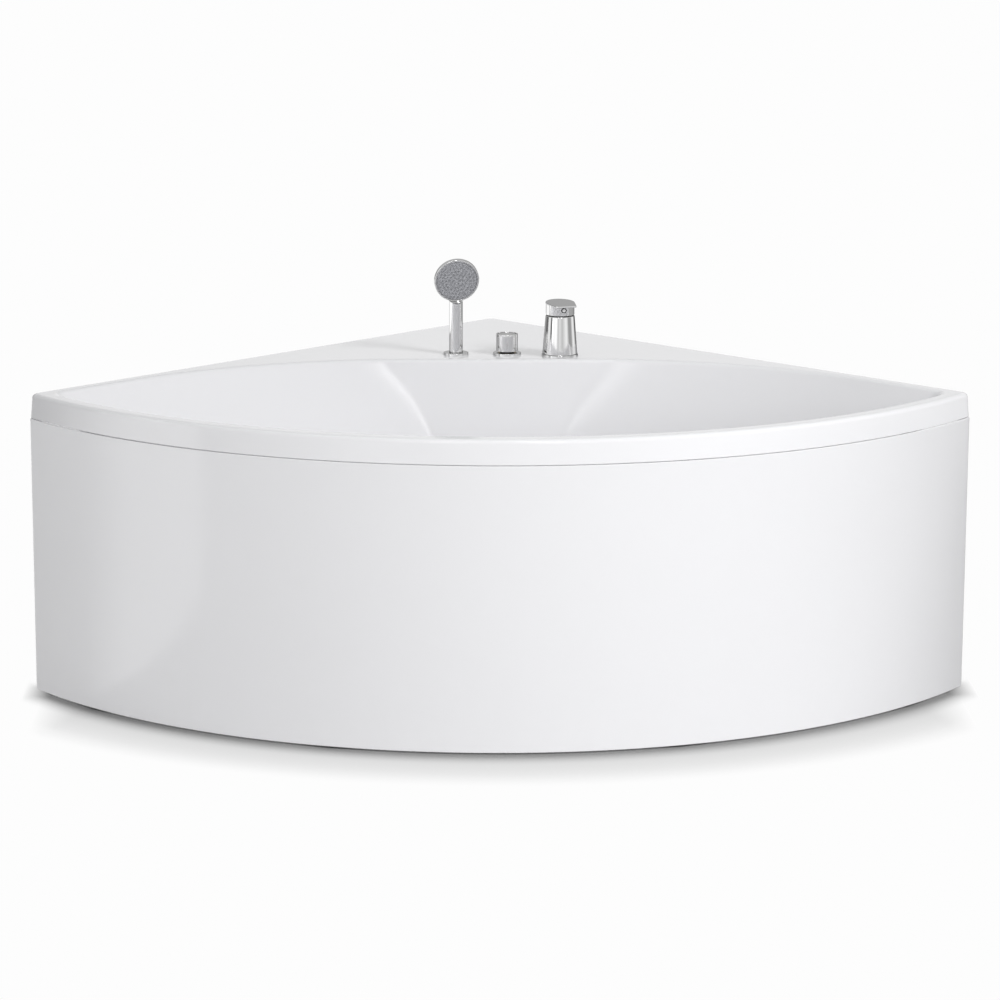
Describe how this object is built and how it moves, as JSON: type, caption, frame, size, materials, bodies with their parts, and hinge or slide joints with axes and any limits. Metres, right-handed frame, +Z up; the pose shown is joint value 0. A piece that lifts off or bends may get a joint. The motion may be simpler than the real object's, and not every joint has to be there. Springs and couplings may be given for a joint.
{
  "type": "corner bathtub",
  "caption": "Corner bathtub with a curved front apron, rear deck with mixer, diverter and pull-out hand shower, pop-up waste and steel cradle.",
  "frame": {"origin": "centre of the footprint box at floor level", "axes": "+Z up, the apron faces -Y, the walls meet at the back on +Y, +X to the right seen from the front"},
  "size_m": [1.9298, 1.4684, 0.8375],
  "materials": {
    "acrylic": "glossy white sanitary acrylic",
    "apron_acrylic": "glossy white acrylic panel",
    "chipboard": "particle board",
    "cradle_steel": "galvanised square tube",
    "magnet_steel": "plain steel",
    "pin_steel": "plain steel",
    "rubber": "matte black rubber",
    "foot_nylon": "glass-filled nylon",
    "chrome": "polished chrome",
    "brass": "plain brass",
    "cartridge_plastic": "moulded plastic",
    "waste_plastic": "white pipe plastic",
    "spray_plastic": "grey spray plate",
    "nozzle_silicone": "dark silicone"
  },
  "bodies": {
    "tub": {"apron_magnets": "magnet_steel", "apron_panel": "apron_acrylic", "apron_plates": "cradle_steel", "base_board": "chipboard", "beam_back": "cradle_steel", "beam_front_left": "cradle_steel", "beam_front_right": "cradle_steel", "beam_wide": "cradle_steel", "bowden_cable": "waste_plastic", "deck_nuts": "brass", "deck_washers": "rubber", "diverter_body": "brass", "diverter_rosette": "chrome", "drain_body": "waste_plastic", "drain_flange": "chrome", "drain_gasket": "rubber", "fill_hose": "rubber", "holder_rosette": "chrome", "holder_sleeve": "brass", "link_pipe": "brass", "lock_nuts": "cradle_steel", "mixer_base_ring": "chrome", "mixer_body": "chrome", "mixer_cartridge": "cartridge_plastic", "mixer_manifold": "brass", "overflow_body": "waste_plastic", "overflow_gasket": "rubber", "overflow_pipe": "waste_plastic", "overflow_plate": "chrome", "post_back": "cradle_steel", "post_front_left": "cradle_steel", "post_front_right": "cradle_steel", "post_left": "cradle_steel", "post_right": "cradle_steel", "rim_pads": "rubber", "trap": "waste_plastic", "tub_shell": "acrylic", "waste_pipe": "waste_plastic", "weld_nuts": "cradle_steel"},
    "plug": {"plug_cap": "chrome", "plug_seal": "rubber", "plug_stem": "magnet_steel"},
    "overflow_control": {"overflow_knob": "chrome"},
    "hose_end": {"hose_nut": "chrome"},
    "handset": {"handset_handle": "chrome", "handset_head": "chrome", "handset_face": "spray_plastic", "handset_nozzles": "nozzle_silicone"},
    "diverter_control": {"diverter_knob": "chrome", "diverter_spindle": "brass"},
    "mixer_swivel_part": {"mixer_carrier": "cartridge_plastic"},
    "mixer_handle": {"mixer_lever": "chrome", "mixer_pin": "pin_steel"},
    "foot_left_leg": {"foot_left": "foot_nylon"},
    "foot_right_leg": {"foot_right": "foot_nylon"},
    "foot_front_left_leg": {"foot_front_left": "foot_nylon"},
    "foot_front_right_leg": {"foot_front_right": "foot_nylon"},
    "foot_back_leg": {"foot_back": "foot_nylon"},
    "foot_middle_leg": {"foot_middle": "foot_nylon"}
  },
  "joints": [
    {"name": "overflow_turn", "type": "hinge", "parent": "tub", "child": "overflow_control", "pos_m": [0, -0.66832, 0.53], "axis": [0, 0.9787, 0.2055], "range_deg": [0, 75]},
    {"name": "plug_lift", "type": "slide", "parent": "tub", "child": "plug", "axis": [0, 0, 1], "range_m": [0, 0.01]},
    {"name": "handset_lift", "type": "slide", "parent": "tub", "child": "hose_end", "axis": [0, 0, 1], "range_m": [0, 0.3]},
    {"name": "handset_swivel", "type": "hinge", "parent": "hose_end", "child": "handset", "pos_m": [-0.0874, 0.24003, 0.625], "axis": [0, 0, 1], "continuous": true},
    {"name": "diverter_turn", "type": "hinge", "parent": "tub", "child": "diverter_control", "pos_m": [0.0237, 0.24003, 0.625], "axis": [0, 0, 1], "range_deg": [0, 90]},
    {"name": "mixer_swivel", "type": "hinge", "parent": "tub", "child": "mixer_swivel_part", "pos_m": [0.1381, 0.22203, 0.625], "axis": [0, 0, 1], "range_deg": [-45, 45]},
    {"name": "mixer_lift", "type": "hinge", "parent": "mixer_swivel_part", "child": "mixer_handle", "pos_m": [0.1381, 0.22203, 0.7073], "axis": [-0.9613, -0.2756, 0], "range_deg": [0, 20]},
    {"name": "foot_left_adjust", "type": "slide", "parent": "tub", "child": "foot_left_leg", "axis": [0, 0, 1], "range_m": [-0.02, 0]},
    {"name": "foot_right_adjust", "type": "slide", "parent": "tub", "child": "foot_right_leg", "axis": [0, 0, 1], "range_m": [-0.02, 0]},
    {"name": "foot_front_left_adjust", "type": "slide", "parent": "tub", "child": "foot_front_left_leg", "axis": [0, 0, 1], "range_m": [-0.02, 0]},
    {"name": "foot_front_right_adjust", "type": "slide", "parent": "tub", "child": "foot_front_right_leg", "axis": [0, 0, 1], "range_m": [-0.02, 0]},
    {"name": "foot_back_adjust", "type": "slide", "parent": "tub", "child": "foot_back_leg", "axis": [0, 0, 1], "range_m": [-0.02, 0]},
    {"name": "foot_middle_adjust", "type": "slide", "parent": "tub", "child": "foot_middle_leg", "axis": [0, 0, 1], "range_m": [-0.02, 0]}
  ],
  "couplings": [
    {"joint": "plug_lift", "follows": "overflow_turn", "m_per_rad": 0.0076356}
  ]
}
